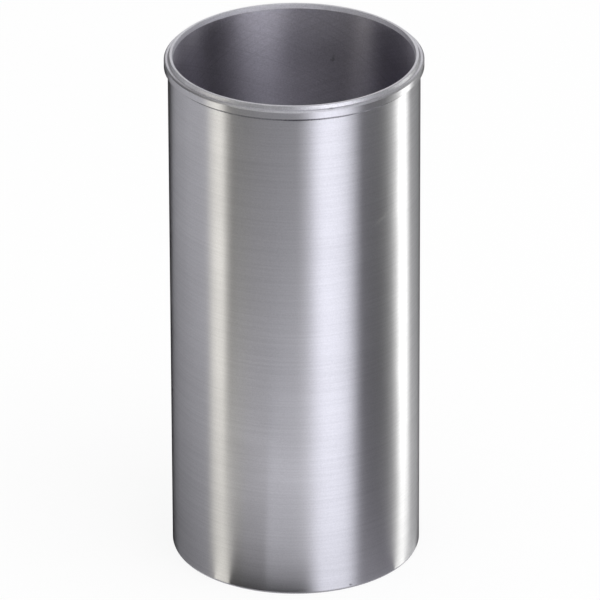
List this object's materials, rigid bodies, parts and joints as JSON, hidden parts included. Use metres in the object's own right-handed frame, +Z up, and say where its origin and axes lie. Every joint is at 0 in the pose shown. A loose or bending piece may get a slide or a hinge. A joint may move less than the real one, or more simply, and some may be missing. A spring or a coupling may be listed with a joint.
{
  "type": "cylinder liner",
  "caption": "Thin-walled flanged dry cylinder liner with a raised fire ring, honed bore and ground outside.",
  "frame": {"origin": "centre of the foot face, where the bore's axis meets the surface the liner stands on", "axes": "+Z up the bore axis, from the foot towards the fire ring; X and Y are free, as the liner is round"},
  "size_m": [0.1078, 0.1078, 0.225],
  "materials": {
    "machined_iron": "ground outside, honed inside, bare metal"
  },
  "bodies": {
    "root": {"cylinder_liner": "machined_iron"}
  },
  "joints": []
}
